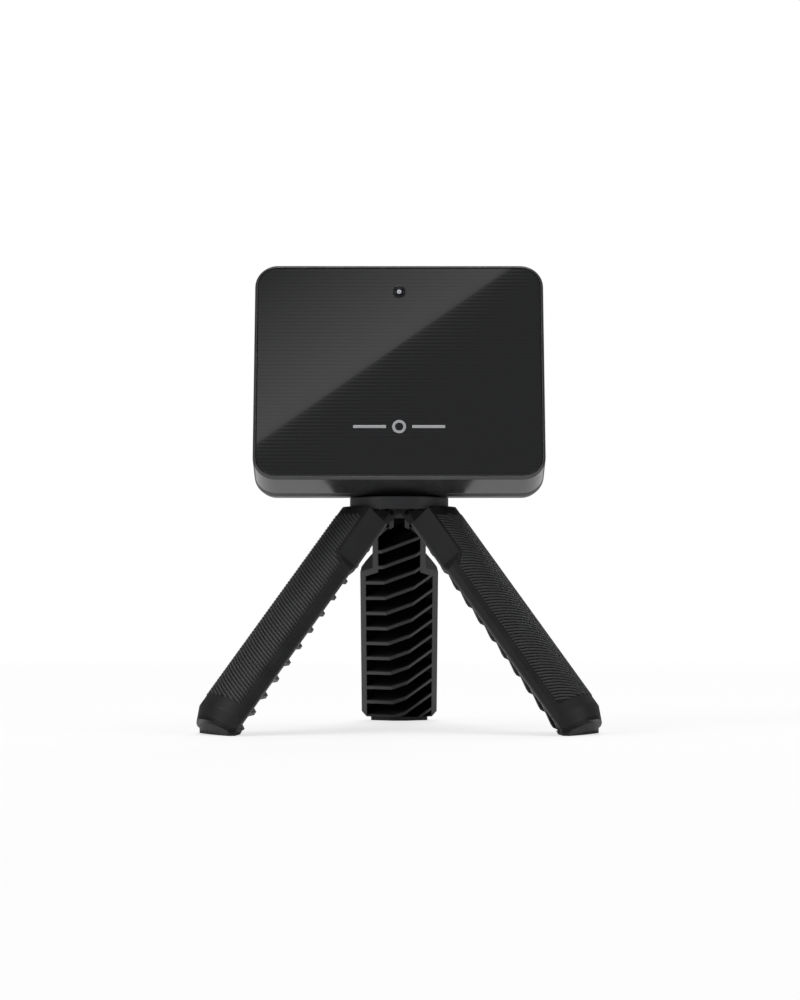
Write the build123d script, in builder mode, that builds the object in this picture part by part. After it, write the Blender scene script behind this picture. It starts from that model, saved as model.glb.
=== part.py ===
"""Portable launch monitor leaning back on a folding three-legged mini tripod.

Millimetres, +Z up, floor at Z = 0, front toward -Y. The monitor is modelled in its own leaning
frame and every leg in the frame of its hinge; the three legs are one design turned about the
tripod axis. The joints are at rest with the legs open on their stops.
"""
import os
from math import cos, radians, sin, tan

from build123d import *

# Stand
AXIS_Y = -13.056            # tripod axis, set so that the whole object is centred on the origin
COLLAR_RADIUS = 15.2
COLLAR_BOTTOM = 67.7
COLLAR_TOP = 71.45
COLLAR_BORE = 13.3          # inside of the skirt
HUB_RADIUS = 13.1
HUB_BOTTOM = 68.6
HUB_TOP = 69.8
PAD_RADIUS = 13.4
PAD_BOTTOM = 71.0          # the pad lies in a recess in the collar and stands proud of it
PAD_TOP = 71.6
STUD_RADIUS = 3.1
STUD_TOP = 77.0
FLANGE_RADIUS = 6.0
FLANGE_TOP = 70.3
HUB_SCREW_CIRCLE = 10.4

# Leg, in the frame of its hinge: x across, y out of the folded bundle, z down the leg
OPEN_ANGLE = 39.1
PIVOT_RADIUS = 4.4
PIVOT_HEIGHT = 66.7
LEG_RADIUS = 15.25          # outer arc of the folded bundle
APEX = 3.4                  # arc centre, inboard of the hinge
ARC_HALF_ANGLE = 52.0
LEG_HALF_WIDTH = 12.4
NECK_HALF_WIDTH = 8.4       # between the flats beside the hinge
SHOULDER_TOP = 22.9
SHOULDER_BOTTOM = 26.4
LEG_END = 87.9
TOE_LENGTH = 4.4            # chamfer round the outer end
TOE_DROP = 2.0
SOLE_CORNER = 2.8
BLOCK_TOP = 5.7             # the neck beside the ears starts this far below the hinge
SHELL_WALL = 1.8
RIB_PITCH = 6.29
RIB_SLANT = 0.457           # rise of a rib plane along the leg per unit across it
RIB_THICKNESS = 1.1
FIRST_RIB = 12.5            # where the first rib crosses the middle of the leg
RIB_COUNT = 13
EAR_INNER = 1.72
EAR_OUTER = 3.05
EAR_RADIUS = 1.7
LUG_HALF_WIDTH = 1.3
LUG_RADIUS = 1.5
PIN_RADIUS = 0.8
PIN_HALF_LENGTH = 3.35
PIN_CLEARANCE = 0.06
LEG_TOP = 67.35             # leg tops lie just under the collar when open
CREST_INNER = 15.5          # and rise again just outside it
CREST_OUTER = 16.6
CREST_TOP = 68.6
LEG_SOLE = 1.2              # bottom of the leg shell above the floor
FOOT_HALF_WIDTH = 9.3
FOOT_INNER = 56.0           # radial reach of the sole from the tripod axis
FOOT_OUTER = 66.2
LEG_TURNS = {"back": 0.0, "left": 120.0, "right": 240.0}

# Monitor, in its leaning frame: x to the right, y up the window, z out of the window.
# Depths are measured back from the window; the frame starts where the tripod axis meets the seat.
LEAN = 14.2
SEAT_Z = 71.65
WINDOW_Z = 19.3
WIDTH = 89.0
TOP = 69.2
CHIN_FRONT = 0.3            # lower edge of the outline at the front
CHIN_REAR = -1.72           # and at the lowest edge, where the seat begins
CHIN_DEPTH = 12.5
DEPTH = 26.0
CORNER = 7.0
SEAT_CORNER = 6.5
WALL = 2.0
EDGE_CHAMFER = 0.7
WINDOW_THICKNESS = 1.6
WINDOW_MARGIN = 0.8
GASKET = 0.3
FRONT_WALL = 3.6
SEAM = 10.5
SEAM_GAP = 0.15
REAR_WALL = 24.0
INSERT_RADIUS = 4.4
INSERT_LENGTH = 7.3
THREAD_RADIUS = 3.17
BOSS_RADIUS = 6.4

CAMERA_Y = 60.4
MARK_Y = 16.8
BUTTON = (-26.0, 54.0)
LIGHT = (-16.0, 59.0)
DOOR_HINGE_X = 16.5
DOOR_Y = 16.0
DOOR_HALF_HEIGHT = 4.4
DOOR_AXIS_DEPTH = 25.1
VENT = (-26.0, 16.0)
SCREW_POINTS = [(-38.6, 8.0), (38.6, 8.0), (-38.6, 63.2), (38.6, 63.2)]
POST_POINTS = [(-34.5, 25.0), (34.5, 25.0), (-34.5, 52.0), (34.5, 52.0)]
ARRAY_POINTS = [(-26.5, 20.0), (26.5, 20.0), (-26.5, 42.0), (26.5, 42.0)]
BOARD_FRONT = 11.2
BOARD_REAR = 12.4
ARRAY_FRONT = 5.4
ARRAY_REAR = 6.6

STAND = Plane((0, AXIS_Y, 0))
TRIPOD_AXIS = Axis((0, AXIS_Y, 0), (0, 0, 1))
UPRIGHT = Plane((0, AXIS_Y, 0), (0, 1, 0), (1, 0, 0))
BODY = Plane(
    origin=(0, AXIS_Y, SEAT_Z),
    x_dir=(1, 0, 0),
    z_dir=(0, -cos(radians(LEAN)), sin(radians(LEAN))),
)
LEG = Plane(
    origin=(0, AXIS_Y + PIVOT_RADIUS, PIVOT_HEIGHT),
    x_dir=(-1, 0, 0),
    z_dir=(0, sin(radians(OPEN_ANGLE)), -cos(radians(OPEN_ANGLE))),
)
LEG_SIDE = Plane(origin=LEG.origin, x_dir=LEG.y_dir, z_dir=LEG.x_dir)
LEG_FACE = Plane(origin=LEG.origin, x_dir=LEG.x_dir, z_dir=-LEG.y_dir)


def at_depth(depth):
    """Plane parallel to the window, this far behind its front, facing forward."""
    return BODY.offset(WINDOW_Z - depth)


def outline(bottom, inset):
    """Rounded rectangle of the monitor seen from the front, shrunk all round by the inset."""
    height = TOP - bottom - 2 * inset
    with Locations((0, (TOP + bottom) / 2)):
        RectangleRounded(WIDTH - 2 * inset, height, max(CORNER - inset, 1.0))


def slab(front, rear, shape, mode=Mode.ADD):
    """Extrude the shape drawn by a function from one depth to a deeper one."""
    with BuildSketch(at_depth(rear)) as profile:
        shape()
    extrude(profile.sketch, amount=rear - front, mode=mode)


def discs(points, radius, front, rear, mode=Mode.ADD):
    """Round bars of one radius between two depths."""
    with BuildSketch(at_depth(rear)) as profile:
        with Locations(*points):
            Circle(radius)
    extrude(profile.sketch, amount=rear - front, mode=mode)


def tubes(points, radius, bore, front, rear):
    """Round sleeves of one size between two depths."""
    with BuildSketch(at_depth(rear)) as profile:
        with Locations(*points):
            Circle(radius)
            Circle(bore, mode=Mode.SUBTRACT)
    extrude(profile.sketch, amount=rear - front)


def bricks(points, width, height, front, rear, mode=Mode.ADD):
    """Rectangular blocks of one size between two depths."""
    with BuildSketch(at_depth(rear)) as profile:
        with Locations(*points):
            Rectangle(width, height)
    extrude(profile.sketch, amount=rear - front, mode=mode)


def bar(radius, bottom, top, mode=Mode.ADD):
    """Upright round bar on the tripod axis."""
    with BuildSketch(STAND.offset(bottom)) as profile:
        Circle(radius)
    extrude(profile.sketch, amount=top - bottom, mode=mode)


# ---------------------------------------------------------------------------
# Monitor housing
# ---------------------------------------------------------------------------
with BuildPart() as hull:
    with BuildSketch(at_depth(CHIN_DEPTH)):
        outline(CHIN_REAR, 0)
    with BuildSketch(at_depth(0)):
        outline(CHIN_FRONT, 0)
    loft(ruled=True)
    slab(CHIN_DEPTH, DEPTH, lambda: outline(CHIN_REAR, 0))
    front_rim = hull.faces().sort_by(Axis((0, 0, 0), BODY.z_dir))[-1].edges()
    chamfer(front_rim, EDGE_CHAMFER)
    rear_rim = hull.faces().sort_by(Axis((0, 0, 0), BODY.z_dir))[0].edges()
    fillet(rear_rim, 3.0)
    with BuildSketch(STAND.offset(SEAT_Z)):
        Rectangle(WIDTH + 20, 90)
    extrude(amount=-20, mode=Mode.SUBTRACT)
    # the lower corners stay rounded where the seat cuts across them
    with BuildSketch(Plane.XZ) as upright:
        with Locations((0, SEAT_Z + 80)):
            RectangleRounded(WIDTH, 160, SEAT_CORNER)
    extrude(upright.sketch, amount=60, both=True, mode=Mode.INTERSECT)

with BuildPart() as front_housing:
    add(hull.part)
    split(bisect_by=at_depth(SEAM - SEAM_GAP), keep=Keep.TOP)
    slab(-1, WINDOW_THICKNESS + GASKET, lambda: outline(CHIN_FRONT, WINDOW_MARGIN), Mode.SUBTRACT)
    slab(FRONT_WALL, SEAM, lambda: outline(CHIN_FRONT, WALL), Mode.SUBTRACT)
    slab(SEAM - 0.5, SEAM, lambda: outline(CHIN_FRONT, 1.1), Mode.SUBTRACT)
    discs(SCREW_POINTS, 3.0, FRONT_WALL, SEAM - SEAM_GAP)
    discs(SCREW_POINTS, 1.0, 5.0, SEAM, Mode.SUBTRACT)
    discs([(0, CAMERA_Y)], 3.1, 0, 4, Mode.SUBTRACT)

with BuildPart() as rear_housing:
    add(hull.part)
    split(bisect_by=at_depth(SEAM + SEAM_GAP), keep=Keep.BOTTOM)
    slab(SEAM, REAR_WALL, lambda: outline(CHIN_FRONT + 1.4, WALL), Mode.SUBTRACT)
    slab(SEAM, SEAM + 0.5, lambda: outline(CHIN_FRONT, 1.1), Mode.SUBTRACT)
    discs(SCREW_POINTS, 3.0, SEAM + SEAM_GAP, REAR_WALL)
    discs(SCREW_POINTS, 1.15, SEAM, DEPTH, Mode.SUBTRACT)
    discs(SCREW_POINTS, 2.0, 22.0, DEPTH + 1, Mode.SUBTRACT)
    bar(BOSS_RADIUS, SEAT_Z, SEAT_Z + INSERT_LENGTH + 1.2)
    bar(INSERT_RADIUS, SEAT_Z - 1, SEAT_Z + INSERT_LENGTH, Mode.SUBTRACT)
    bricks([(DOOR_HINGE_X + 7, DOOR_Y)], 20, 12.4, 22.2, REAR_WALL)
    bricks([(DOOR_HINGE_X + 6.8, DOOR_Y)], 16.2, 9.4, 24.0, DEPTH + 1, Mode.SUBTRACT)
    bricks([(DOOR_HINGE_X + 7.5, DOOR_Y)], 8.2, 3.4, 20, DEPTH, Mode.SUBTRACT)
    with BuildSketch(Plane(BODY.from_local_coords((DOOR_HINGE_X, 0, 0)), BODY.x_dir, BODY.y_dir)):
        with Locations((0, -(WINDOW_Z - DOOR_AXIS_DEPTH))):
            Circle(0.6)
    extrude(amount=DOOR_Y + 5.8, mode=Mode.SUBTRACT)
    discs([BUTTON], 4.8, 25.0, DEPTH + 1, Mode.SUBTRACT)
    discs([BUTTON], 6.2, 22.2, REAR_WALL)
    discs([BUTTON], 2.6, 20, DEPTH, Mode.SUBTRACT)
    discs([BUTTON], 4.3, 20, 23.2, Mode.SUBTRACT)
    discs([LIGHT], 1.25, 20, DEPTH + 1, Mode.SUBTRACT)
    discs([VENT], 0.6, 20, DEPTH + 1, Mode.SUBTRACT)
    bricks([(0, 38.0)], 34, 18, 25.6, DEPTH + 1, Mode.SUBTRACT)

with BuildPart() as housing_seal:
    slab(SEAM - 0.5, SEAM + 0.5, lambda: outline(CHIN_FRONT, 1.15))
    slab(SEAM - 1, SEAM + 1, lambda: outline(CHIN_FRONT, WALL), Mode.SUBTRACT)

with BuildPart() as housing_screws:
    discs(SCREW_POINTS, 1.9, 22.0, 23.5)
    discs(SCREW_POINTS, 1.0, 6.0, 22.5)
    with BuildSketch(at_depth(23.5)) as sockets:
        with Locations(*SCREW_POINTS):
            RegularPolygon(0.9, 6)
    extrude(sockets.sketch, amount=0.8, mode=Mode.SUBTRACT)

with BuildPart() as tripod_insert:
    bar(INSERT_RADIUS, SEAT_Z, SEAT_Z + INSERT_LENGTH)
    bar(THREAD_RADIUS, SEAT_Z - 1, SEAT_Z + INSERT_LENGTH - 1.0, Mode.SUBTRACT)
    with BuildSketch(STAND.offset(SEAT_Z + 2.6)) as relief:
        Circle(INSERT_RADIUS + 1)
        Circle(INSERT_RADIUS - 0.5, mode=Mode.SUBTRACT)
    extrude(relief.sketch, amount=1.2, mode=Mode.SUBTRACT)

# ---------------------------------------------------------------------------
# Window, aim mark and camera
# ---------------------------------------------------------------------------
MARK_BARS = [(-9.0, MARK_Y), (9.0, MARK_Y)]

with BuildPart() as front_window:
    slab(0, WINDOW_THICKNESS, lambda: outline(CHIN_FRONT, WINDOW_MARGIN + 0.05))
    window_rim = front_window.faces().sort_by(Axis((0, 0, 0), BODY.z_dir))[-1].edges()
    chamfer(window_rim, 0.3)
    bricks(MARK_BARS, 10.0, 0.9, -0.1, 0.2, Mode.SUBTRACT)
    discs([(0, MARK_Y)], 2.1, -0.1, 0.2, Mode.SUBTRACT)
    discs([(0, MARK_Y)], 1.3, 0.0, 0.2)

with BuildPart() as aim_mark:
    bricks(MARK_BARS, 10.0, 0.9, 0, 0.2)
    tubes([(0, MARK_Y)], 2.1, 1.3, 0, 0.2)

with BuildPart() as window_gasket:
    slab(WINDOW_THICKNESS, WINDOW_THICKNESS + GASKET, lambda: outline(CHIN_FRONT, WINDOW_MARGIN + 0.2))
    slab(0, 5, lambda: outline(CHIN_FRONT, WINDOW_MARGIN + 3.2), Mode.SUBTRACT)

with BuildPart() as lens_ring:
    tubes([(0, CAMERA_Y)], 3.0, 1.9, WINDOW_THICKNESS, 3.4)

with BuildPart() as camera_lens:
    discs([(0, CAMERA_Y)], 1.85, 2.4, 3.4)
    lens_rim = camera_lens.faces().sort_by(Axis((0, 0, 0), BODY.z_dir))[-1].edges()
    fillet(lens_rim, 0.8)

with BuildPart() as camera_module:
    bricks([(0, CAMERA_Y)], 7.0, 7.0, 3.8, 6.6)
    discs([(0, CAMERA_Y)], 2.9, 3.4, 3.8)
    bricks([(0, CAMERA_Y - 1)], 8.4, 9.6, 6.6, 7.2)

# ---------------------------------------------------------------------------
# Electronics
# ---------------------------------------------------------------------------
PATCH_COLUMNS = 4
PATCH_ROWS = 3
PATCH_PITCH = 12.0

with BuildPart() as antenna_board:
    bricks([(0, 33.0)], 58.0, 44.0, ARRAY_FRONT, ARRAY_REAR)
    discs(ARRAY_POINTS, 1.05, 5, 7, Mode.SUBTRACT)

with BuildPart() as patch_antennas:
    with BuildSketch(at_depth(ARRAY_FRONT)) as patches:
        with Locations((0, 33.0)):
            with GridLocations(PATCH_PITCH, PATCH_PITCH, PATCH_COLUMNS - 1, PATCH_ROWS):
                Rectangle(7.6, 7.6)
    extrude(patches.sketch, amount=0.15)

with BuildPart() as radar_shield:
    bricks([(0, 33.0)], 34.0, 26.0, ARRAY_REAR, 8.8)
    bricks([(0, 33.0)], 33.2, 25.2, ARRAY_REAR - 1, 8.5, Mode.SUBTRACT)

with BuildPart() as main_board:
    bricks([(0, 36.0)], 74.0, 52.0, BOARD_FRONT, BOARD_REAR)
    board_corners = main_board.edges().filter_by(Axis((0, 0, 0), BODY.z_dir))
    chamfer(board_corners, 4.0)
    discs(POST_POINTS, 1.05, 11, 13, Mode.SUBTRACT)
    discs(ARRAY_POINTS, 1.05, 11, 13, Mode.SUBTRACT)

with BuildPart() as processor_shield:
    bricks([(12.0, 37.0)], 24.0, 20.0, 9.6, BOARD_FRONT)
    bricks([(12.0, 37.0)], 23.2, 19.2, 9.9, BOARD_FRONT + 1, Mode.SUBTRACT)

with BuildPart() as board_connector:
    bricks([(-22.0, 33.0)], 4.0, 18.0, ARRAY_REAR, 8.6)
    bricks([(-22.0, 33.0)], 3.0, 17.0, 8.6, BOARD_FRONT)

with BuildPart() as camera_cable:
    bricks([(0, 58.6)], 5.0, 0.3, 7.2, 10.4)
    bricks([(0, 59.7)], 6.0, 2.5, 10.4, BOARD_FRONT)

with BuildPart() as array_spacers:
    tubes(ARRAY_POINTS, 1.9, 1.05, ARRAY_REAR, BOARD_FRONT)

with BuildPart() as array_screws:
    discs(ARRAY_POINTS, 1.7, 4.4, ARRAY_FRONT)
    discs(ARRAY_POINTS, 0.95, ARRAY_FRONT - 0.2, BOARD_REAR)
    discs(ARRAY_POINTS, 1.7, BOARD_REAR, 13.4)

with BuildPart() as board_posts:
    tubes(POST_POINTS, 2.0, 0.95, BOARD_REAR, REAR_WALL)

with BuildPart() as board_screws:
    discs(POST_POINTS, 1.8, 10.1, BOARD_FRONT)
    discs(POST_POINTS, 0.9, 11, 17)
    with BuildSketch(at_depth(10.8)) as drives:
        with Locations(*POST_POINTS):
            Rectangle(2.2, 0.5)
            Rectangle(0.5, 2.2)
    extrude(drives.sketch, amount=2, mode=Mode.SUBTRACT)

with BuildPart() as battery:
    bricks([(0, 39.5)], 38.0, 34.0, 15.4, 22.4)
    battery_edges = battery.edges().filter_by(Axis((0, 0, 0), BODY.z_dir))
    fillet(battery_edges, 2.0)

with BuildPart() as battery_pad:
    bricks([(0, 39.0)], 34.0, 28.0, 22.4, REAR_WALL)

with BuildPart() as battery_plug:
    bricks([(22.9, 48.0)], 5.0, 7.0, BOARD_REAR, 15.2)
    bricks([(21.2, 48.0)], 2.4, 3.0, 15.2, 17.2)

with BuildPart() as button_switch:
    bricks([BUTTON], 6.0, 6.0, BOARD_REAR, 14.6)
    discs([BUTTON], 1.6, 14.6, 15.0)

with BuildPart() as button_seal:
    tubes([BUTTON], 4.25, 1.6, 22.4, 23.2)

with BuildPart() as power_button:
    discs([BUTTON], 4.65, 25.4, 26.5)
    cap_rim = power_button.faces().sort_by(Axis((0, 0, 0), BODY.z_dir))[0].edges()
    fillet(cap_rim, 0.4)
    discs([BUTTON], 2.3, 24.2, 25.4)
    discs([BUTTON], 1.52, 15.4, 24.2)

with BuildPart() as status_led:
    bricks([LIGHT], 2.0, 1.4, BOARD_REAR, 13.2)

with BuildPart() as light_pipe:
    discs([LIGHT], 1.25, 22.6, DEPTH)
    discs([LIGHT], 1.0, 13.5, 22.6)

with BuildPart() as usb_socket:
    bricks([(DOOR_HINGE_X + 7.5, DOOR_Y)], 7.8, 3.0, BOARD_REAR, 24.4)
    bricks([(DOOR_HINGE_X + 7.5, DOOR_Y)], 7.0, 2.2, 18.8, 25.0, Mode.SUBTRACT)
    bricks([(DOOR_HINGE_X + 7.5, DOOR_Y)], 4.6, 0.6, 18.8, 23.6)

with BuildPart() as vent_membrane:
    discs([VENT], 2.6, 23.7, REAR_WALL)

with BuildPart() as rating_label:
    bricks([(0, 38.0)], 33.6, 17.6, 25.6, 25.8)

# ---------------------------------------------------------------------------
# Charging-port door, hinged along its edge nearer the middle
# ---------------------------------------------------------------------------
HINGE_SKETCH = Plane(
    BODY.from_local_coords((DOOR_HINGE_X, 0, WINDOW_Z - DOOR_AXIS_DEPTH)),
    BODY.x_dir,
    BODY.y_dir,
)

with BuildPart() as usb_door:
    bricks([(DOOR_HINGE_X + 7.4, DOOR_Y)], 14.2, 2 * DOOR_HALF_HEIGHT, 24.9, DEPTH)
    with BuildSketch(HINGE_SKETCH.offset(DOOR_Y - DOOR_HALF_HEIGHT)) as knuckle:
        Circle(0.9)
    extrude(knuckle.sketch, amount=2 * DOOR_HALF_HEIGHT)
    bricks([(DOOR_HINGE_X + 7.5, DOOR_Y)], 6.4, 1.8, 24.6, 24.9)
    with BuildSketch(HINGE_SKETCH.offset(DOOR_Y - 8)) as bore:
        Circle(0.66)
    extrude(bore.sketch, amount=16, mode=Mode.SUBTRACT)
    bricks([(DOOR_HINGE_X + 13.4, DOOR_Y)], 0.8, 3.0, 25.6, DEPTH + 1, Mode.SUBTRACT)

with BuildPart() as door_pin:
    with BuildSketch(HINGE_SKETCH.offset(DOOR_Y - 5.8)) as rod:
        Circle(0.6)
    extrude(rod.sketch, amount=11.6)

# ---------------------------------------------------------------------------
# Tripod head
# ---------------------------------------------------------------------------
with BuildPart() as collar:
    bar(COLLAR_RADIUS, COLLAR_BOTTOM, COLLAR_TOP)
    chamfer(collar.faces().sort_by(Axis.Z)[-1].edges(), 0.2)
    bar(PAD_RADIUS + 0.1, PAD_BOTTOM, COLLAR_TOP + 1, Mode.SUBTRACT)
    bar(COLLAR_BORE, COLLAR_BOTTOM - 1, HUB_TOP, Mode.SUBTRACT)
    bar(FLANGE_RADIUS + 0.02, COLLAR_BOTTOM, FLANGE_TOP, Mode.SUBTRACT)
    bar(STUD_RADIUS + 0.02, COLLAR_BOTTOM, COLLAR_TOP + 1, Mode.SUBTRACT)
    with BuildSketch(STAND.offset(HUB_TOP)) as taps:
        with PolarLocations(HUB_SCREW_CIRCLE, 3, start_angle=-90):
            Circle(0.62)
    extrude(taps.sketch, amount=1.0, mode=Mode.SUBTRACT)

with BuildPart() as friction_pad:
    bar(PAD_RADIUS, PAD_BOTTOM, PAD_TOP)
    bar(4.8, PAD_BOTTOM - 1, PAD_TOP + 1, Mode.SUBTRACT)

with BuildPart() as mounting_stud:
    bar(FLANGE_RADIUS, HUB_TOP, FLANGE_TOP)
    bar(STUD_RADIUS, HUB_TOP, STUD_TOP)
    chamfer(mounting_stud.faces().sort_by(Axis.Z)[-1].edges(), 0.6)

with BuildPart() as leg_hub:
    bar(HUB_RADIUS, HUB_BOTTOM, HUB_TOP)
    for turn in LEG_TURNS.values():
        with BuildSketch(Plane(LEG.origin, (0, 1, 0), (1, 0, 0))) as lug:
            Circle(LUG_RADIUS)
            with Locations((0, (HUB_BOTTOM - PIVOT_HEIGHT) / 2 + 0.1)):
                Rectangle(2 * LUG_RADIUS, HUB_BOTTOM - PIVOT_HEIGHT + 0.2)
            Circle(PIN_RADIUS + PIN_CLEARANCE, mode=Mode.SUBTRACT)
        blade = extrude(lug.sketch, amount=LUG_HALF_WIDTH, both=True, mode=Mode.PRIVATE)
        add(blade.rotate(TRIPOD_AXIS, turn))
    with BuildSketch(STAND.offset(HUB_BOTTOM)) as clearances:
        with PolarLocations(HUB_SCREW_CIRCLE, 3, start_angle=-90):
            Circle(0.7)
    extrude(clearances.sketch, amount=3, mode=Mode.SUBTRACT)

with BuildPart() as hub_screws:
    with BuildSketch(STAND.offset(HUB_BOTTOM - 0.7)) as heads:
        with PolarLocations(HUB_SCREW_CIRCLE, 3, start_angle=-90):
            Circle(1.3)
    extrude(heads.sketch, amount=0.7)
    with BuildSketch(STAND.offset(HUB_BOTTOM)) as shanks:
        with PolarLocations(HUB_SCREW_CIRCLE, 3, start_angle=-90):
            Circle(0.62)
    extrude(shanks.sketch, amount=HUB_TOP - HUB_BOTTOM + 1.0)

# ---------------------------------------------------------------------------
# Leg: a shell open toward the folded bundle, braced by slanted ribs
# ---------------------------------------------------------------------------
ARC_HALF = radians(ARC_HALF_ANGLE)
FACET_RISE = tan(radians(30))
ARC_END = (LEG_RADIUS * sin(ARC_HALF), LEG_RADIUS * cos(ARC_HALF) - APEX)
RIM_CORNER = (LEG_HALF_WIDTH, LEG_HALF_WIDTH * FACET_RISE - APEX)
KNEE = (1.4, 1.4 * FACET_RISE - APEX)
BAY_HALF_WIDTH = LEG_HALF_WIDTH - SHELL_WALL
BAY_NECK = NECK_HALF_WIDTH - SHELL_WALL
BAY_END = LEG_END - SHELL_WALL

with BuildPart() as leg_block:
    with BuildSketch(LEG) as section:
        with BuildLine():
            ThreePointArc(
                (-ARC_END[0], ARC_END[1]),
                (0, LEG_RADIUS - APEX),
                ARC_END,
            )
            Polyline(
                ARC_END,
                RIM_CORNER,
                KNEE,
                (-KNEE[0], KNEE[1]),
                (-RIM_CORNER[0], RIM_CORNER[1]),
                (-ARC_END[0], ARC_END[1]),
            )
        make_face()
    extrude(section.sketch, amount=LEG_END)
    end_face = leg_block.faces().sort_by(Axis(LEG.origin, LEG.z_dir))[-1]
    toe_edge = end_face.edges().filter_by(GeomType.CIRCLE)
    chamfer(toe_edge, TOE_DROP, TOE_LENGTH, reference=end_face)
    # flats beside the hinge, ramping out to the full width
    with BuildSketch(LEG_FACE) as flats:
        for side in (-1, 1):
            with BuildLine():
                Polyline(
                    (side * NECK_HALF_WIDTH, -5),
                    (side * NECK_HALF_WIDTH, SHOULDER_TOP),
                    (side * (LEG_HALF_WIDTH + 0.2), SHOULDER_BOTTOM),
                    (side * 20, SHOULDER_BOTTOM),
                    (side * 20, -5),
                    close=True,
                )
            make_face()
    extrude(flats.sketch, amount=20, both=True, mode=Mode.SUBTRACT)
    with BuildSketch(LEG_FACE) as corners:
        for side in (-1, 1):
            with BuildLine():
                Polyline(
                    (side * (LEG_HALF_WIDTH + 1), LEG_END - SOLE_CORNER - 1),
                    (side * (LEG_HALF_WIDTH - SOLE_CORNER - 1), LEG_END + 1),
                    (side * (LEG_HALF_WIDTH + 1), LEG_END + 1),
                    close=True,
                )
            make_face()
            with Locations((side * (EAR_OUTER + 10), BLOCK_TOP - 10)):
                Rectangle(20, 20)
    extrude(corners.sketch, amount=20, both=True, mode=Mode.SUBTRACT)
    # the inner edges of the ribs recede toward the hinge
    with BuildSketch(LEG_SIDE) as trims:
        with BuildLine():
            Polyline((-8, -5), (1.0, -5), (-0.2, 14), (-2.5, 85), (-2.5, 95), (-8, 95), close=True)
        make_face()
    extrude(trims.sketch, amount=20, both=True, mode=Mode.SUBTRACT)
    # hinge ears
    with BuildSketch(LEG_SIDE) as ears:
        Circle(EAR_RADIUS)
        with BuildLine():
            Polyline(
                (-EAR_RADIUS, 0),
                (EAR_RADIUS, 0),
                (EAR_RADIUS, 6),
                (-0.2, 8),
                (-EAR_RADIUS, 2),
                close=True,
            )
        make_face()
    extrude(ears.sketch, amount=EAR_OUTER, both=True)
    # the top is turned to clear the collar, with a rounded crest outside it
    with BuildSketch(UPRIGHT) as top_cut:
        with BuildLine():
            Polyline(
                (CREST_OUTER, CREST_TOP),
                (CREST_INNER, CREST_TOP),
                (CREST_INNER, LEG_TOP),
                (PIVOT_RADIUS + EAR_RADIUS, LEG_TOP),
                (PIVOT_RADIUS + EAR_RADIUS, 90),
                (30, 90),
                (30, 66.6),
                (19.5, 66.6),
            )
            ThreePointArc((19.5, 66.6), (18.6, 68.0), (CREST_OUTER, CREST_TOP))
        make_face()
    revolve(top_cut.sketch, TRIPOD_AXIS, 360, mode=Mode.SUBTRACT)
    with BuildSketch(STAND.offset(LEG_TOP)) as side_cut:
        with Locations((-EAR_OUTER - 10, 0), (EAR_OUTER + 10, 0)):
            Rectangle(20, 2 * (PIVOT_RADIUS + 5))
    extrude(side_cut.sketch, amount=12, mode=Mode.SUBTRACT)
    # horizontal cut above the sole
    with BuildSketch(STAND.offset(LEG_SOLE)) as sole_cut:
        with Locations((0, 60)):
            Rectangle(40, 60)
    extrude(sole_cut.sketch, amount=-20, mode=Mode.SUBTRACT)

with BuildPart() as leg_bays:
    with BuildSketch(LEG.offset(-6)) as arc_room:
        with Locations((0, -APEX)):
            Circle(LEG_RADIUS - SHELL_WALL)
    extrude(arc_room.sketch, amount=BAY_END + 6)
    with BuildSketch(LEG_FACE) as room:
        with BuildLine():
            Polyline(
                (-EAR_INNER, -6),
                (-EAR_INNER, 4.5),
                (-3.6, 6.2),
                (-BAY_NECK, 9.5),
                (-BAY_NECK, SHOULDER_TOP + 0.8),
                (-BAY_HALF_WIDTH, SHOULDER_BOTTOM + 0.8),
                (-BAY_HALF_WIDTH, BAY_END),
                (BAY_HALF_WIDTH, BAY_END),
                (BAY_HALF_WIDTH, SHOULDER_BOTTOM + 0.8),
                (BAY_NECK, SHOULDER_TOP + 0.8),
                (BAY_NECK, 9.5),
                (3.6, 6.2),
                (EAR_INNER, 4.5),
                (EAR_INNER, -6),
                close=True,
            )
        make_face()
    extrude(room.sketch, amount=20, both=True, mode=Mode.INTERSECT)
    # the ribs are what the bays leave standing
    with BuildSketch(LEG_FACE) as ribs:
        for index in range(RIB_COUNT):
            middle = FIRST_RIB + index * RIB_PITCH
            reach = RIB_SLANT * 14
            half = RIB_THICKNESS / 2 / cos(radians(24.6))
            with BuildLine():
                Polyline(
                    (-14, middle - reach - half),
                    (-14, middle - reach + half),
                    (14, middle + reach + half),
                    (14, middle + reach - half),
                    close=True,
                )
            make_face()
    extrude(ribs.sketch, amount=20, both=True, mode=Mode.SUBTRACT)

with BuildPart() as leg_shell:
    add(leg_block.part)
    add(leg_bays.part, mode=Mode.SUBTRACT)
    with BuildSketch(LEG_SIDE) as slot:
        Circle(1.95)
    extrude(slot.sketch, amount=EAR_INNER, both=True, mode=Mode.SUBTRACT)
    with BuildSketch(LEG_SIDE) as pin_hole:
        Circle(PIN_RADIUS)
    extrude(pin_hole.sketch, amount=6, both=True, mode=Mode.SUBTRACT)

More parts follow.
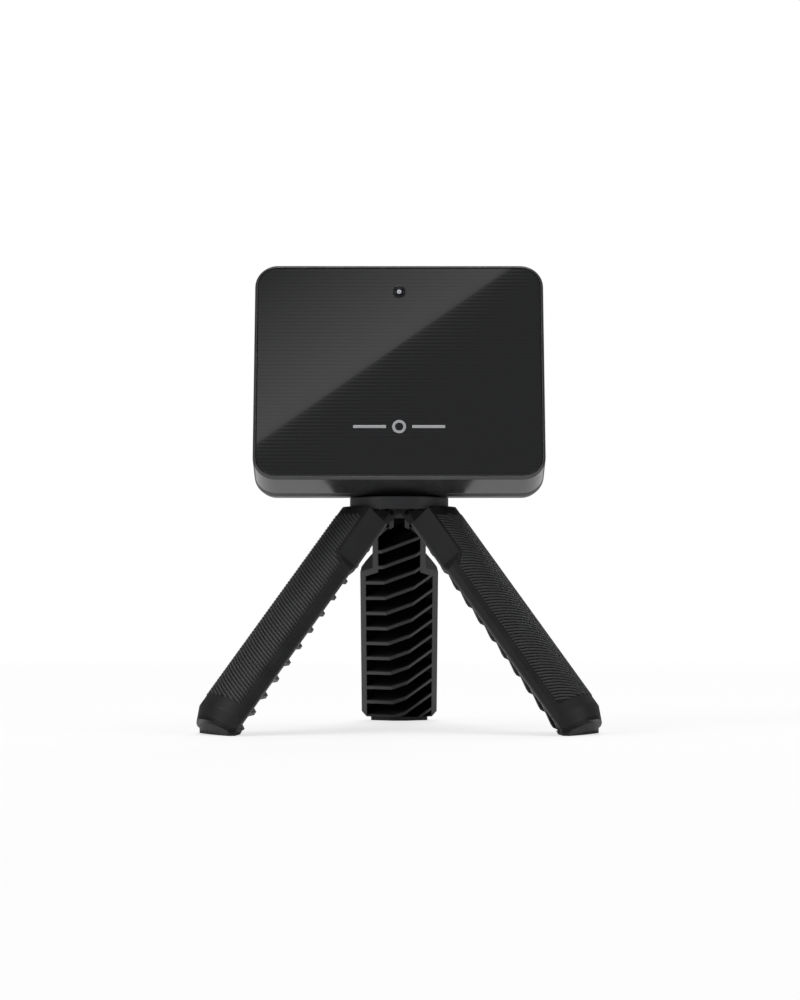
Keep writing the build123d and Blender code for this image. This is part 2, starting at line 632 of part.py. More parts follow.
# The sole follows the leg's outline, so that folded legs clear one another
with BuildPart() as foot_pad:
    with BuildSketch(STAND) as sole:
        with BuildLine():
            ThreePointArc(
                (-FOOT_HALF_WIDTH, FOOT_OUTER - 2.5),
                (0, FOOT_OUTER),
                (FOOT_HALF_WIDTH, FOOT_OUTER - 2.5),
            )
            Polyline(
                (FOOT_HALF_WIDTH, FOOT_OUTER - 2.5),
                (FOOT_HALF_WIDTH, FOOT_INNER),
                (-FOOT_HALF_WIDTH, FOOT_INNER),
                (-FOOT_HALF_WIDTH, FOOT_OUTER - 2.5),
            )
        make_face()
    extrude(sole.sketch, amount=5)
    with BuildSketch(LEG.offset(LEG_END)) as under_leg:
        Rectangle(60, 60)
    extrude(under_leg.sketch, amount=-40, mode=Mode.SUBTRACT)
    extrude(sole.sketch, amount=LEG_SOLE)
    extrude(section.sketch, amount=LEG_END + 12, mode=Mode.INTERSECT)
    add(leg_block.part, mode=Mode.SUBTRACT)
    # the outer edge rolls up from the ground
    with BuildSketch(UPRIGHT) as roll:
        with BuildLine():
            Polyline((63.6, 0), (63.6, -1), (70, -1), (70, 2.2), (66.4, 2.2))
            ThreePointArc((66.4, 2.2), (65.5, 0.75), (63.6, 0))
        make_face()
    revolve(roll.sketch, TRIPOD_AXIS, 360, mode=Mode.SUBTRACT)

with BuildPart() as hinge_pin:
    with BuildSketch(LEG_SIDE) as pin:
        Circle(PIN_RADIUS)
    extrude(pin.sketch, amount=PIN_HALF_LENGTH, both=True)
    chamfer(hinge_pin.edges().filter_by(GeomType.CIRCLE), 0.15)

with BuildPart() as hinge_washers:
    with BuildSketch(LEG_SIDE.offset(LUG_HALF_WIDTH), LEG_SIDE.offset(-LUG_HALF_WIDTH - 0.36)) as rings:
        Circle(LUG_RADIUS)
        Circle(PIN_RADIUS + PIN_CLEARANCE, mode=Mode.SUBTRACT)
    extrude(rings.sketch, amount=0.36)

# ---------------------------------------------------------------------------
# Files
# ---------------------------------------------------------------------------
os.makedirs("parts", exist_ok=True)
SINGLE_PARTS = {
    "front_window": front_window,
    "aim_mark": aim_mark,
    "window_gasket": window_gasket,
    "lens_ring": lens_ring,
    "camera_lens": camera_lens,
    "camera_module": camera_module,
    "camera_cable": camera_cable,
    "front_housing": front_housing,
    "housing_seal": housing_seal,
    "rear_housing": rear_housing,
    "housing_screws": housing_screws,
    "tripod_insert": tripod_insert,
    "antenna_board": antenna_board,
    "patch_antennas": patch_antennas,
    "radar_shield": radar_shield,
    "array_spacers": array_spacers,
    "array_screws": array_screws,
    "main_board": main_board,
    "processor_shield": processor_shield,
    "board_connector": board_connector,
    "board_posts": board_posts,
    "board_screws": board_screws,
    "battery": battery,
    "battery_pad": battery_pad,
    "battery_plug": battery_plug,
    "button_switch": button_switch,
    "button_seal": button_seal,
    "power_button": power_button,
    "status_led": status_led,
    "light_pipe": light_pipe,
    "usb_socket": usb_socket,
    "usb_door": usb_door,
    "door_pin": door_pin,
    "vent_membrane": vent_membrane,
    "rating_label": rating_label,
    "collar": collar,
    "friction_pad": friction_pad,
    "mounting_stud": mounting_stud,
    "leg_hub": leg_hub,
    "hub_screws": hub_screws,
}
LEG_PARTS = {
    "leg_shell": leg_shell,
    "foot_pad": foot_pad,
    "hinge_pin": hinge_pin,
    "hinge_washers": hinge_washers,
}

for name, builder in SINGLE_PARTS.items():
    builder.part.label = name
    export_step(builder.part, f"parts/{name}.step")

for name, builder in LEG_PARTS.items():
    for side, turn in LEG_TURNS.items():
        copy = builder.part.rotate(TRIPOD_AXIS, turn)
        copy.label = f"{name}_{side}"
        export_step(copy, f"parts/{name}_{side}.step")
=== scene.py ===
"""Looks, lights and camera for the launch monitor on its mini tripod. Metres, row frame."""
from math import cos, pi, radians, sin, tan

import bmesh
import bpy
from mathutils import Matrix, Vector


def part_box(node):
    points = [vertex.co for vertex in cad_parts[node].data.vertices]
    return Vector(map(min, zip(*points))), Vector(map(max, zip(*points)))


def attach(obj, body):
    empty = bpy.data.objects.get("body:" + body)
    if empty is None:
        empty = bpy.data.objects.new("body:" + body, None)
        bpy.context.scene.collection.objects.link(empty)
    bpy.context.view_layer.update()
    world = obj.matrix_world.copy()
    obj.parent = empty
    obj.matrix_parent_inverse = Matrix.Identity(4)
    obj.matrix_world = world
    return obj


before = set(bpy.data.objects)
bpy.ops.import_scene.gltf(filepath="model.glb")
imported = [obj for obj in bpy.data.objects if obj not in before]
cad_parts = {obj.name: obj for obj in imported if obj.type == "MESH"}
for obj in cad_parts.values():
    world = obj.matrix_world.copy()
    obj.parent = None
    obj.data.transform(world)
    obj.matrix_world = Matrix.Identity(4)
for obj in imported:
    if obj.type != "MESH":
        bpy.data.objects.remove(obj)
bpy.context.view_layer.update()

MM = 0.001

# The same driving dimensions as the model, in metres
AXIS_Y = (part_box("collar")[0].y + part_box("collar")[1].y) / 2
SEAT_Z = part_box("tripod_insert")[0].z
LEAN = radians(14.2)
WINDOW_Z = 19.3 * MM
CAMERA_HOLE_Y = 60.4 * MM
OPEN_ANGLE = radians(39.1)
PIVOT_RADIUS = 4.4 * MM
PIVOT_HEIGHT = 66.7 * MM
LEG_RADIUS = 15.25 * MM
APEX = 3.4 * MM
FACET_ANGLE = radians(30)    # slope of the rims' inner facets
LEG_AZIMUTHS = {"back": 90, "left": 210, "right": 330}

# Leg zones across an open leg, down it from the hinge and out from its arc's centre
SHOULDER_TOP = 23.0 * MM     # grip and bays widen from here, just past the shell's shoulder
RIB_EDGE_TOP = 3.65 * MM     # height of the ribs' inner edges beside the hinge
RIB_EDGE_FALL = 0.0324       # and how much it drops per unit down the leg
DARK_RADIUS = 13.7 * MM      # the bays' painted shade ends here, inside the shell's wall
DARK_NECK = 7.6 * MM         # half its width beside the hinge
DARK_SPAN = 12.2 * MM        # and over the rest of the leg
DARK_SPREAD_END = 26.0 * MM  # where it reaches that width
DARK_START = 6.0 * MM        # it starts below the hinge ears

# Grip ridges on the legs
RIDGE_PITCH = 1.08 * MM
RIDGE_SLANT = 0.47           # rise of a ridge along the leg per unit across it
RIDGE_HEIGHT = 0.2 * MM
RIDGE_TOP = 66.2 * MM        # the ridges stay under the turned top of the leg
RIDGE_END = 80.0 * MM        # and stop this far down the leg
RIDGE_STEPS = 36             # points along a full ridge
RIDGE_FEWEST = 4             # shorter ones are left out
RIDGE_PROFILE = ((-0.36, -0.2), (-0.2, 1.0), (0.2, 1.0), (0.36, -0.2))  # in pitches, heights
NECK_EDGE = 8.0 * MM         # half width of the ridged arc beside the hinge
ARC_EDGE = 10.8 * MM         # and over the rest of the leg
SHOULDER_END = 26.6 * MM     # where the arc reaches its full width

# Surfaces
PLASTIC_GRAIN = 5200         # noise scale of spark-eroded moulds
EDGE_RADIUS = 0.3 * MM       # how far moulded edges roll over in the shading
EDGE_HIGHLIGHT_AND_WEAR = 2.2              # how much paler moulded edges are: painted highlight along the edges, with handling wear
EDGE_FULL = 0.82             # cosine of the roll at which an edge is fully paler
EDGE_NONE = 0.985            # and of the roll at which it isn't paler yet
RULING_PITCH = 1.16 * MM     # printed lines on the window
LEG_TONE = (0.0105, 0.0108, 0.0114)
# painted light: the grip ridges are paler than the leg they are moulded on
RIDGE_LIT_TONE = (0.028, 0.0285, 0.0295)
# painted shade on the leg between the grip ridges
GROOVE_SHADE_TONE = (0.003, 0.003, 0.0032)
# painted light on the rims round the bays
RIM_LIT_TONE = (0.05, 0.0505, 0.052)
# painted shade in the bays between the ribs
BAY_SHADE_TONE = (0.0035, 0.0035, 0.0037)

# Studio
FLOOR_SPAN = 14.0
ROOM_LIGHT = 0.16            # strength of the room in reflections
SWEEP_START = 0.1            # the floor fades to white between these distances
SWEEP_END = 0.9
SWEEP_NEAR = 0.72            # how white it is at the near one
CARD_ON_WINDOW = ((38.5, 71.2), (-60, -0.9), (-60, 110), (38.5, 110))  # its mirrored corners, mm
CARD_REACH = 1.9             # the card's distance, in distances of the mirrored camera
CARD_GLOW = 0.85
CARD_FADE = 0.62             # share of the card over which its light dies away
CAMERA_DISTANCE = 0.850
CAMERA_HEIGHT = 0.0426
CAMERA_OFFSET = 0.00026
FOCAL = 123.7
PITCH = radians(1.9)
TARGET = (0, AXIS_Y, 0.07)
SOFTBOXES = {                # place, size and power
    "top": ((0.0, 0.1, 1.3), 0.9, 13.0),
    "key": ((-1.0, -0.6, 0.7), 0.6, 6.0),
    "fill": ((1.1, -0.5, 0.6), 0.6, 3.5),
    "back": ((0.3, 1.1, 0.9), 0.7, 4.0),
}

BODY_ORIGIN = Vector((0, AXIS_Y, SEAT_Z))
BODY_UP = Vector((0, sin(LEAN), cos(LEAN)))
BODY_OUT = Vector((0, -cos(LEAN), sin(LEAN)))
RIGHT = Vector((1, 0, 0))


def on_window(x, y):
    """Point of the window's front face, x to the right and y up it."""
    return BODY_ORIGIN + RIGHT * x + BODY_UP * y + BODY_OUT * WINDOW_Z


def leg_axes(azimuth):
    """Directions across an open leg, down it and out of its rounded side, and its hinge."""
    out = Vector((cos(radians(azimuth)), sin(radians(azimuth)), 0))
    across = Vector((-out.y, out.x, 0))
    down = out * sin(OPEN_ANGLE) - Vector((0, 0, cos(OPEN_ANGLE)))
    normal = out * cos(OPEN_ANGLE) + Vector((0, 0, sin(OPEN_ANGLE)))
    pivot = Vector((0, AXIS_Y, PIVOT_HEIGHT)) + out * PIVOT_RADIUS
    return across, down, normal, pivot


def place(name, data):
    """New object in the scene for a mesh, light or camera."""
    item = bpy.data.objects.new(name, data)
    bpy.context.scene.collection.objects.link(item)
    return item


# ---------------------------------------------------------------------------
# Shader helpers
# ---------------------------------------------------------------------------
class Shader:
    """A Principled material with small helpers for wiring nodes."""

    def __init__(self, name, color, roughness, metallic=0.0, specular=0.5, coat=0.0):
        self.material = bpy.data.materials.new(name)
        self.material.use_nodes = True
        self.material.diffuse_color = (*color, 1.0)
        self.nodes = self.material.node_tree.nodes
        self.links = self.material.node_tree.links
        self.out = self.nodes["Principled BSDF"]
        self.out.inputs["Base Color"].default_value = (*color, 1.0)
        self.out.inputs["Roughness"].default_value = roughness
        self.out.inputs["Metallic"].default_value = metallic
        self.out.inputs["Specular IOR Level"].default_value = specular
        self.out.inputs["Coat Weight"].default_value = coat
        self.out.inputs["Coat Roughness"].default_value = 0.015
        self.position = self.nodes.new("ShaderNodeTexCoord").outputs["Object"]

    def feed(self, value, socket):
        if isinstance(value, (int, float)):
            socket.default_value = value
        else:
            self.links.new(value, socket)

    def math(self, operation, first, second=0.0, third=0.0):
        node = self.nodes.new("ShaderNodeMath")
        node.operation = operation
        for value, socket in zip((first, second, third), node.inputs):
            self.feed(value, socket)
        return node.outputs[0]

    def times(self, first, second):
        return self.math("MULTIPLY", first, second)

    def dot(self, vector, origin=None):
        """Position along a vector, measured from the origin point where one is given."""
        node = self.nodes.new("ShaderNodeVectorMath")
        node.operation = "DOT_PRODUCT"
        self.links.new(self.position, node.inputs[0])
        node.inputs[1].default_value = vector
        if origin is None:
            return node.outputs["Value"]
        return self.math("SUBTRACT", node.outputs["Value"], origin.dot(vector))

    def noise(self, scale, detail=3.0, stretch=(1, 1, 1)):
        mapping = self.nodes.new("ShaderNodeMapping")
        mapping.inputs["Scale"].default_value = stretch
        self.links.new(self.position, mapping.inputs["Vector"])
        node = self.nodes.new("ShaderNodeTexNoise")
        node.inputs["Scale"].default_value = scale
        node.inputs["Detail"].default_value = detail
        self.links.new(mapping.outputs[0], node.inputs["Vector"])
        return node.outputs["Fac"]

    def spread(self, value, low, high, start=0.3, stop=0.7):
        """Low to high as the value goes from start to stop, and level beyond them."""
        node = self.nodes.new("ShaderNodeMapRange")
        node.inputs["From Min"].default_value = start
        node.inputs["From Max"].default_value = stop
        node.inputs["To Min"].default_value = low
        node.inputs["To Max"].default_value = high
        self.feed(value, node.inputs["Value"])
        return node.outputs["Result"]

    def mix(self, factor, first, second):
        node = self.nodes.new("ShaderNodeMix")
        node.data_type = "RGBA"
        self.feed(factor, node.inputs["Factor"])
        for value, socket in ((first, node.inputs["A"]), (second, node.inputs["B"])):
            if isinstance(value, tuple):
                socket.default_value = (*value, 1.0)
            else:
                self.links.new(value, socket)
        return node.outputs["Result"]

    def bump(self, height, distance, strength=1.0, over=None):
        node = self.nodes.new("ShaderNodeBump")
        node.inputs["Strength"].default_value = strength
        node.inputs["Distance"].default_value = distance
        self.links.new(height, node.inputs["Height"])
        if over is not None:
            self.links.new(over, node.inputs["Normal"])
        return node.outputs["Normal"]

    def rounded(self, radius):
        """Shading normal that rolls over edges, as moulded corners do."""
        node = self.nodes.new("ShaderNodeBevel")
        node.samples = 4
        node.inputs["Radius"].default_value = radius
        return node.outputs["Normal"]

    def edges(self, normal):
        """1 along the edges that the rounded normal rolls over, 0 elsewhere."""
        flat = self.nodes.new("ShaderNodeNewGeometry").outputs["Normal"]
        node = self.nodes.new("ShaderNodeVectorMath")
        node.operation = "DOT_PRODUCT"
        self.links.new(flat, node.inputs[0])
        self.links.new(normal, node.inputs[1])
        return self.spread(node.outputs["Value"], 1.0, 0.0, EDGE_FULL, EDGE_NONE)

    def set(self, socket, value):
        self.links.new(value, self.out.inputs[socket])


def moulded(name, color, roughness, grain=0.03, specular=0.4, lift=1.6):
    """Spark-eroded injection-moulded plastic: fine grain, patchy sheen, edges painted paler as a
    highlight and as handling wear.
    """
    shader = Shader(name, color, roughness, specular=specular)
    fine = shader.noise(PLASTIC_GRAIN, 2.0)
    broad = shader.noise(120, 4.0)
    pale = tuple(min(1.0, c * lift) for c in color)
    tone = shader.mix(shader.spread(broad, 0.0, 0.5), color, pale)
    soft = shader.rounded(EDGE_RADIUS)
    # painted highlight, with handling wear: the edges that the rounded normal rolls over are paler
    highlight_and_wear_tone = tuple(min(1.0, c * EDGE_HIGHLIGHT_AND_WEAR) for c in color)
    shader.set("Base Color", shader.mix(shader.edges(soft), tone, highlight_and_wear_tone))
    shader.set("Roughness", shader.spread(broad, roughness - 0.05, roughness + 0.06))
    shader.set("Normal", shader.bump(fine, grain * MM, 0.5, over=soft))
    return shader


def metal(name, color, roughness, stretch=(1, 1, 18)):
    """Turned or brushed metal with fine lines and slight tarnish."""
    shader = Shader(name, color, roughness, metallic=1.0)
    lines = shader.noise(1800, 3.0, stretch)
    patches = shader.noise(260, 3.0)
    dark = tuple(c * 0.72 for c in color)
    shader.set("Base Color", shader.mix(shader.spread(patches, 0.0, 0.6), color, dark))
    shader.set("Roughness", shader.spread(lines, roughness - 0.08, roughness + 0.12))
    shader.set("Normal", shader.bump(lines, 0.01 * MM, 0.5))
    return shader


def leg_plastic(side, azimuth):
    """Charcoal leg plastic, with painted shade in the bays and between the grip ridges and painted
    light on the rims.
    """
    across, down, normal, pivot = leg_axes(azimuth)
    shader = moulded(f"leg_plastic_{side}", LEG_TONE, 0.42, specular=0.26)
    u = shader.dot(across, pivot)
    v = shader.dot(down, pivot)
    w = shader.math("ADD", shader.dot(normal, pivot), APEX)
    span = shader.math("ABSOLUTE", u)
    radius = shader.math("SQRT", shader.math("ADD", shader.times(u, u), shader.times(w, w)))

    # the floor between the grip ridges lies in their shade
    on_arc = shader.spread(radius, 0.0, 1.0, LEG_RADIUS - 0.35 * MM, LEG_RADIUS - 0.15 * MM)
    above_toe = shader.spread(v, 1.0, 0.0, RIDGE_END - 0.4 * MM, RIDGE_END + 0.2 * MM)
    within = shader.spread(span, 1.0, 0.0, ARC_EDGE - 0.2 * MM, ARC_EDGE + 0.4 * MM)
    groove_shade = shader.times(shader.times(on_arc, above_toe), within)

    # painted shade darkens the bays between the ribs, and painted light makes the rims round them
    # paler
    rib_edge = shader.math("MULTIPLY_ADD", v, -RIB_EDGE_FALL, RIB_EDGE_TOP)
    mouth = shader.math("MAXIMUM", shader.times(span, tan(FACET_ANGLE)), rib_edge)
    depth = shader.math("SUBTRACT", w, mouth)
    wall = shader.spread(v, DARK_NECK, DARK_SPAN, SHOULDER_TOP, DARK_SPREAD_END)
    under_shell = shader.math("LESS_THAN", radius, DARK_RADIUS)
    between_walls = shader.math("LESS_THAN", span, wall)
    past_ears = shader.math("GREATER_THAN", v, DARK_START)
    inside = shader.times(shader.times(under_shell, between_walls), past_ears)
    bay_shade = shader.times(inside, shader.spread(depth, 0.0, 1.0, 0.3 * MM, 1.2 * MM))
    rim_light = shader.spread(depth, 1.0, 0.0, 0.15 * MM, 0.7 * MM)

    plain = shader.out.inputs["Base Color"].links[0].from_socket
    # painted shade between the grip ridges
    tone = shader.mix(groove_shade, plain, GROOVE_SHADE_TONE)
    # painted light on the rims
    tone = shader.mix(rim_light, tone, RIM_LIT_TONE)
    # painted shade in the bays
    shader.set("Base Color", shader.mix(bay_shade, tone, BAY_SHADE_TONE))
    return shader.material


def window_gloss():
    """Hard-coated black window over a finely ruled horizontal print."""
    shader = Shader("window_gloss", (0.014, 0.0145, 0.0155), 0.06, specular=0.5, coat=0.6)
    along = shader.times(shader.dot(BODY_UP), 2 * pi / RULING_PITCH)
    ruled = shader.spread(shader.math("SINE", along), 0.0, 1.0, 0.1, 0.75)
    smear = shader.noise(60, 5.0)
    shader.set("Base Color", shader.mix(ruled, (0.0145, 0.015, 0.016), (0.0195, 0.02, 0.021)))
    shader.set("Specular IOR Level", shader.spread(ruled, 0.46, 0.62, 0.1, 0.9))
    rough = shader.math("ADD", shader.spread(smear, 0.02, 0.035), shader.times(ruled, 0.03))
    shader.set("Roughness", rough)
    shader.set("Normal", shader.bump(shader.noise(35, 2.0), 0.01 * MM, 0.15))
    return shader.material


def circuit_board(name, color):
    """Solder mask over faint copper tracks."""
    shader = Shader(name, color, 0.32, specular=0.5, coat=0.2)
    brick = shader.nodes.new("ShaderNodeTexBrick")
    brick.inputs["Scale"].default_value = 260
    brick.inputs["Mortar Size"].default_value = 0.03
    brick.inputs["Color1"].default_value = (*color, 1)
    brick.inputs["Color2"].default_value = (*(c * 0.8 for c in color), 1)
    brick.inputs["Mortar"].default_value = (*(min(1, c * 2.2) for c in color), 1)
    shader.links.new(shader.position, brick.inputs["Vector"])
    shader.set("Base Color", brick.outputs["Color"])
    shader.set("Normal", shader.bump(brick.outputs["Fac"], 0.03 * MM, 0.4))
    shader.set("Roughness", shader.spread(shader.noise(300), 0.26, 0.4))
    return shader.material


def rubber(name, color, roughness):
    """Matte elastomer with dust in its grain."""
    shader = Shader(name, color, roughness, specular=0.25)
    grain = shader.noise(3600, 4.0)
    dust = shader.noise(190, 5.0)
    pale = tuple(min(1, c * 1.5 + 0.01) for c in color)
    shader.set("Base Color", shader.mix(shader.spread(dust, 0.0, 0.7), color, pale))
    shader.set("Roughness", shader.spread(dust, roughness - 0.05, roughness + 0.08))
    shader.set("Normal", shader.bump(grain, 0.05 * MM, 0.7))
    return shader.material


def lens_glass():
    """Dark coated lens."""
    shader = Shader("lens_glass", (0.006, 0.007, 0.011), 0.03, specular=0.25)
    shader.set("Roughness", shader.spread(shader.noise(700), 0.02, 0.06))
    return shader.material


def translucent():
    """Milky light pipe."""
    shader = Shader("light_plastic", (0.62, 0.66, 0.62), 0.28, specular=0.5)
    shader.out.inputs["Transmission Weight"].default_value = 0.35
    shader.set("Roughness", shader.spread(shader.noise(900), 0.22, 0.36))
    return shader.material


HOUSING_TONE = (0.033, 0.0335, 0.035)
REAR_TONE = (0.024, 0.0245, 0.026)
HOUSING = moulded("housing_plastic", HOUSING_TONE, 0.17, grain=0.008, specular=0.6).material
REAR = moulded("rear_plastic", REAR_TONE, 0.48, grain=0.06, specular=0.38).material
HEAD = moulded("head_plastic", (0.016, 0.0165, 0.018), 0.38, specular=0.4).material
TRIM = moulded("trim_plastic", (0.02, 0.02, 0.022), 0.42).material
CELL = moulded("cell_wrap", (0.2, 0.21, 0.23), 0.35).material
LABEL = moulded("label_film", (0.045, 0.046, 0.048), 0.4, grain=0.015).material
PRINT = moulded("mark_print", (0.4, 0.405, 0.415), 0.4, grain=0.01, lift=1.1).material
BLACKED = metal("blacked_steel", (0.03, 0.03, 0.032), 0.4).material
STEEL = metal("fastener_steel", (0.55, 0.56, 0.58), 0.28).material
CAN = metal("shield_tin", (0.62, 0.63, 0.62), 0.34, (14, 1, 1)).material
BRASS = metal("insert_brass", (0.78, 0.58, 0.28), 0.3).material
COPPER = metal("antenna_copper", (0.86, 0.55, 0.33), 0.26, (1, 1, 1)).material
SOFT = rubber("seal_rubber", (0.018, 0.018, 0.019), 0.7)
PAD = rubber("pad_rubber", (0.024, 0.024, 0.025), 0.62)
SOLE = rubber("sole_rubber", (0.03, 0.03, 0.031), 0.5)
BOARD = circuit_board("board_mask", (0.012, 0.07, 0.035))
GLASS = lens_glass()
# grip ridges in painted light, paler than the leg shell
GRIP = moulded("grip_plastic", RIDGE_LIT_TONE, 0.45, specular=0.3, lift=1.3).material
EYE_GREY = moulded("eye_ring_plastic", (0.012, 0.012, 0.013), 0.22, grain=0.005).material

FINISHES = {
    "front_window": window_gloss(),
    "aim_mark": PRINT,
    "window_gasket": SOFT,
    "lens_ring": TRIM,
    "camera_lens": GLASS,
    "camera_module": TRIM,
    "camera_cable": COPPER,
    "front_housing": HOUSING,
    "housing_seal": SOFT,
    "rear_housing": REAR,
    "housing_screws": STEEL,
    "tripod_insert": BRASS,
    "antenna_board": BOARD,
    "patch_antennas": COPPER,
    "radar_shield": CAN,
    "array_spacers": BRASS,
    "array_screws": STEEL,
    "main_board": BOARD,
    "processor_shield": CAN,
    "board_connector": TRIM,
    "board_posts": BRASS,
    "board_screws": STEEL,
    "battery": CELL,
    "battery_pad": SOFT,
    "battery_plug": TRIM,
    "button_switch": TRIM,
    "button_seal": SOFT,
    "power_button": TRIM,
    "status_led": PRINT,
    "light_pipe": translucent(),
    "usb_socket": CAN,
    "usb_door": TRIM,
    "door_pin": STEEL,
    "vent_membrane": SOFT,
    "rating_label": LABEL,
    "collar": HEAD,
    "friction_pad": PAD,
    "mounting_stud": STEEL,
    "leg_hub": HEAD,
    "hub_screws": BLACKED,
}
for side, azimuth in LEG_AZIMUTHS.items():
    FINISHES[f"leg_shell_{side}"] = leg_plastic(side, azimuth)
    FINISHES[f"foot_pad_{side}"] = SOLE
    FINISHES[f"hinge_pin_{side}"] = BLACKED
    FINISHES[f"hinge_washers_{side}"] = TRIM

for node, material in FINISHES.items():
    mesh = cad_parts[node].data
    mesh.materials.clear()
    mesh.materials.append(material)


# ---------------------------------------------------------------------------
# Camera eye on the window: a ring, a domed lens and its small bright centre
# ---------------------------------------------------------------------------
LATHE_STEPS = 64
EYE_RING = ((2.1, -0.05), (2.05, 0.1), (1.9, 0.24), (1.35, 0.06))  # radius and height, mm
EYE_LENS = ((1.4, -0.02), (1.38, 0.06), (1.1, 0.12), (0.8, 0.15))
EYE_PUPIL = ((0.7, 0.1), (0.69, 0.17), (0.58, 0.21), (0.3, 0.23))


def lathe(name, profile, centre, material):
    """Solid of revolution about the window's normal, from (radius, height) pairs in mm."""
    mesh = bpy.data.meshes.new(name)
    build = bmesh.new()
    rings = []
    for radius, height in profile:
        ring = []
        for step in range(LATHE_STEPS):
            turn = 2 * pi * step / LATHE_STEPS
            offset = RIGHT * (radius * MM * cos(turn)) + BODY_UP * (radius * MM * sin(turn))
            ring.append(build.verts.new(centre + offset + BODY_OUT * (height * MM)))
        rings.append(ring)
    for low, high in zip(rings, rings[1:]):
        for step in range(LATHE_STEPS):
            after = (step + 1) % LATHE_STEPS
            build.faces.new((low[step], low[after], high[after], high[step]))
    build.faces.new(list(reversed(rings[0])))
    build.faces.new(rings[-1])
    bmesh.ops.recalc_face_normals(build, faces=build.faces)
    build.to_mesh(mesh)
    build.free()
    mesh.polygons.foreach_set("use_smooth", [True] * len(mesh.polygons))
    mesh.materials.append(material)
    piece = place(name, mesh)
    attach(piece, "monitor")
    return piece


eye_centre = on_window(0, CAMERA_HOLE_Y)
eye_ring = lathe("eye_ring", EYE_RING, eye_centre, EYE_GREY)
eye_lens = lathe("eye_lens", EYE_LENS, eye_centre, GLASS)
eye_pupil = lathe("eye_pupil", EYE_PUPIL, eye_centre, PRINT)


# ---------------------------------------------------------------------------
# Grip ridges: slanted raised bars round the outer arc of each leg
# ---------------------------------------------------------------------------
def ridged(u, v):
    """Whether the grip covers this place, u across the arc and v down the leg."""
    lift = (LEG_RADIUS ** 2 - u ** 2) ** 0.5 - APEX
    height = PIVOT_HEIGHT + lift * sin(OPEN_ANGLE) - v * cos(OPEN_ANGLE)
    ramp = min(1.0, max(0.0, (v - SHOULDER_TOP) / (SHOULDER_END - SHOULDER_TOP)))
    edge = NECK_EDGE + (ARC_EDGE - NECK_EDGE) * ramp
    return height < RIDGE_TOP and v < RIDGE_END and abs(u) <= edge


def grip_ridges(side, azimuth, material):
    """All ridges of one leg as one mesh, each a bar that tapers off at both ends."""
    across, down, normal, pivot = leg_axes(azimuth)
    centre = pivot - normal * APEX
    build = bmesh.new()
    for index in range(int((RIDGE_END + ARC_EDGE) / RIDGE_PITCH)):
        middle = index * RIDGE_PITCH
        places = []
        for step in range(RIDGE_STEPS + 1):
            u = ARC_EDGE * (2 * step / RIDGE_STEPS - 1)
            if ridged(u, middle + RIDGE_SLANT * u):
                places.append(u)
        if len(places) < RIDGE_FEWEST:
            continue
        sections = []
        for u in places:
            outward = (across * u + normal * (LEG_RADIUS ** 2 - u ** 2) ** 0.5) / LEG_RADIUS
            foot = centre + outward * LEG_RADIUS + down * (middle + RIDGE_SLANT * u)
            height = 0.0 if u in (places[0], places[-1]) else RIDGE_HEIGHT
            section = []
            for along, rise in RIDGE_PROFILE:
                level = rise * (height if rise > 0 else RIDGE_HEIGHT)
                point = foot + down * (along * RIDGE_PITCH) + outward * level
                section.append(build.verts.new(point))
            sections.append(section)
        for near, far in zip(sections, sections[1:]):
            for corner in range(4):
                after = (corner + 1) % 4
                build.faces.new((near[corner], near[after], far[after], far[corner]))
        build.faces.new(list(reversed(sections[0])))
        build.faces.new(sections[-1])
    bmesh.ops.recalc_face_normals(build, faces=build.faces)
    mesh = bpy.data.meshes.new(f"grip_ridges_{side}")
    build.to_mesh(mesh)
    build.free()
    mesh.materials.append(material)
    ridges = place(f"grip_ridges_{side}", mesh)
    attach(ridges, f"leg_{side}")


for side, azimuth in LEG_AZIMUTHS.items():
    grip_ridges(side, azimuth, GRIP)

# ---------------------------------------------------------------------------
# Floor, room, lights and camera
# ---------------------------------------------------------------------------
floor_mesh = bpy.data.meshes.new("floor")
floor_corners = [(x * FLOOR_SPAN, y * FLOOR_SPAN, 0) for x, y in ((-1, -1), (1, -1), (1, 1), (-1, 1))]
floor_mesh.from_pydata(floor_corners, [], [(0, 1, 2, 3)])
floor_shader = Shader("floor_paper", (0.86, 0.86, 0.86), 0.8, specular=0.1)
floor_shader.set("Roughness", floor_shader.spread(floor_shader.noise(400), 0.75, 0.9))
# the sweep fades to plain white away from the object
length = floor_shader.nodes.new("ShaderNodeVectorMath")
length.operation = "LENGTH"
floor_shader.links.new(floor_shader.position, length.inputs[0])
fade = floor_shader.spread(length.outputs["Value"], SWEEP_NEAR, 1.0, SWEEP_START, SWEEP_END)
seen = floor_shader.nodes.new("ShaderNodeLightPath").outputs["Is Camera Ray"]
white = floor_shader.nodes.new("ShaderNodeEmission")
sweep = floor_shader.nodes.new("ShaderNodeMixShader")
floor_shader.links.new(floor_shader.times(fade, seen), sweep.inputs[0])
floor_shader.links.new(floor_shader.out.outputs[0], sweep.inputs[1])
floor_shader.links.new(white.outputs[0], sweep.inputs[2])
floor_output = floor_shader.nodes["Material Output"]
floor_shader.links.new(sweep.outputs[0], floor_output.inputs["Surface"])
floor_mesh.materials.append(floor_shader.material)
floor = place("floor", floor_mesh)

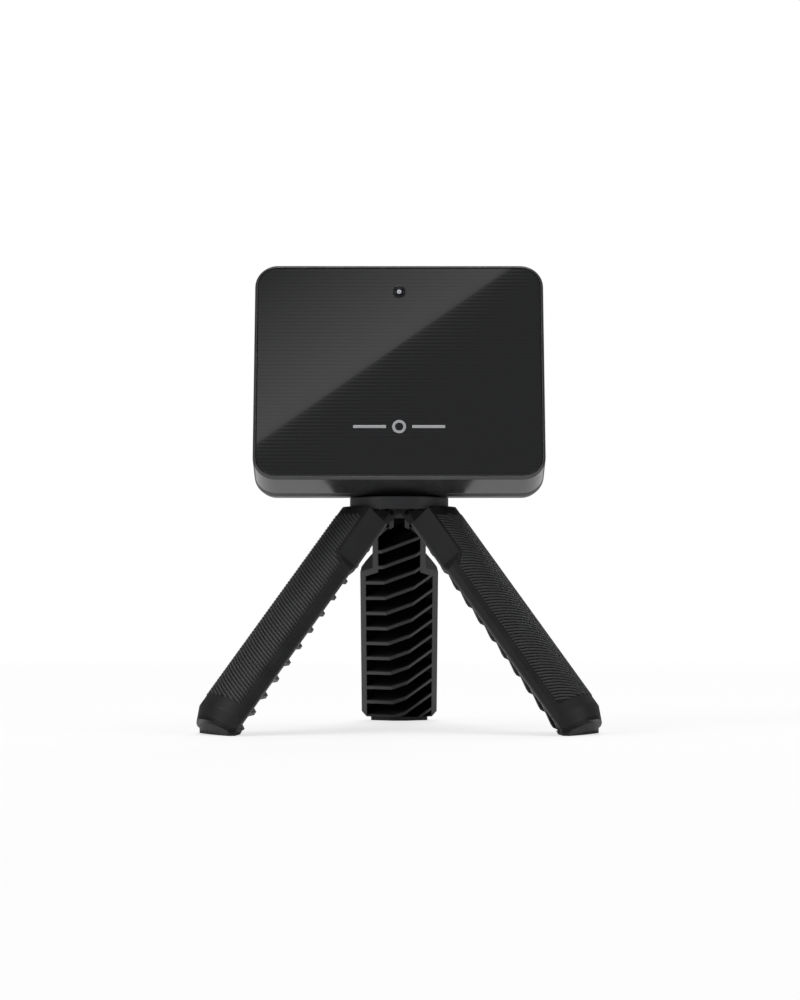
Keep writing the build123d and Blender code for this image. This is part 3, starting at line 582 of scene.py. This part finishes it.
# White behind the object, a dim room in its reflections
world = bpy.data.worlds.new("studio")
bpy.context.scene.world = world
world.use_nodes = True
room = world.node_tree.nodes
wires = world.node_tree.links
backdrop = room["Background"]
backdrop.inputs["Strength"].default_value = 1.0
backdrop.inputs["Color"].default_value = (1.0, 1.0, 1.0, 1.0)
ambient = room.new("ShaderNodeBackground")
ambient.inputs["Strength"].default_value = ROOM_LIGHT
choose = room.new("ShaderNodeMixShader")
straight = room.new("ShaderNodeLightPath").outputs["Is Camera Ray"]
wires.new(straight, choose.inputs[0])
wires.new(ambient.outputs[0], choose.inputs[1])
wires.new(backdrop.outputs[0], choose.inputs[2])
wires.new(choose.outputs[0], room["World Output"].inputs["Surface"])

for name, (spot, size, power) in SOFTBOXES.items():
    light = bpy.data.lights.new(name, "AREA")
    light.size = size
    light.energy = power
    lamp = place(name, light)
    lamp.location = spot
    lamp.rotation_euler = (Vector(TARGET) - Vector(spot)).to_track_quat("-Z", "Y").to_euler()

view = bpy.data.cameras.new("view")
view.sensor_fit = "HORIZONTAL"
view.sensor_width = 36.0
view.lens = FOCAL
view.clip_start = 0.05
view.clip_end = 60.0
camera = place("view", view)
camera.location = (CAMERA_OFFSET, AXIS_Y - CAMERA_DISTANCE, CAMERA_HEIGHT)
camera.rotation_euler = (pi / 2 + PITCH, 0, 0)
bpy.context.scene.camera = camera

# A reflector card whose mirror image in the window ends along a diagonal
mirrored = camera.location - BODY_OUT * (2 * (camera.location - on_window(0, 0)).dot(BODY_OUT))
card_corners = []
for x, y in CARD_ON_WINDOW:
    corner = on_window(x * MM, y * MM)
    ray = corner - mirrored
    card_corners.append(corner + ray * CARD_REACH)
card_mesh = bpy.data.meshes.new("reflector_card")
card_mesh.from_pydata(card_corners, [], [(0, 1, 2, 3)])
glow = Shader("card_glow", (0.0, 0.0, 0.0), 1.0, specular=0.0)
edge_middle = (card_corners[0] + card_corners[1]) / 2
fade_path = card_corners[2] - edge_middle
start = edge_middle.dot(fade_path)
stop = start + CARD_FADE * fade_path.length_squared
glow.out.inputs["Emission Color"].default_value = (1.0, 1.0, 1.0, 1.0)
glow.set("Emission Strength", glow.spread(glow.dot(fade_path), CARD_GLOW, 0.0, start, stop))
card_mesh.materials.append(glow.material)
card = place("reflector_card", card_mesh)

bpy.context.scene.view_settings.view_transform = "Standard"
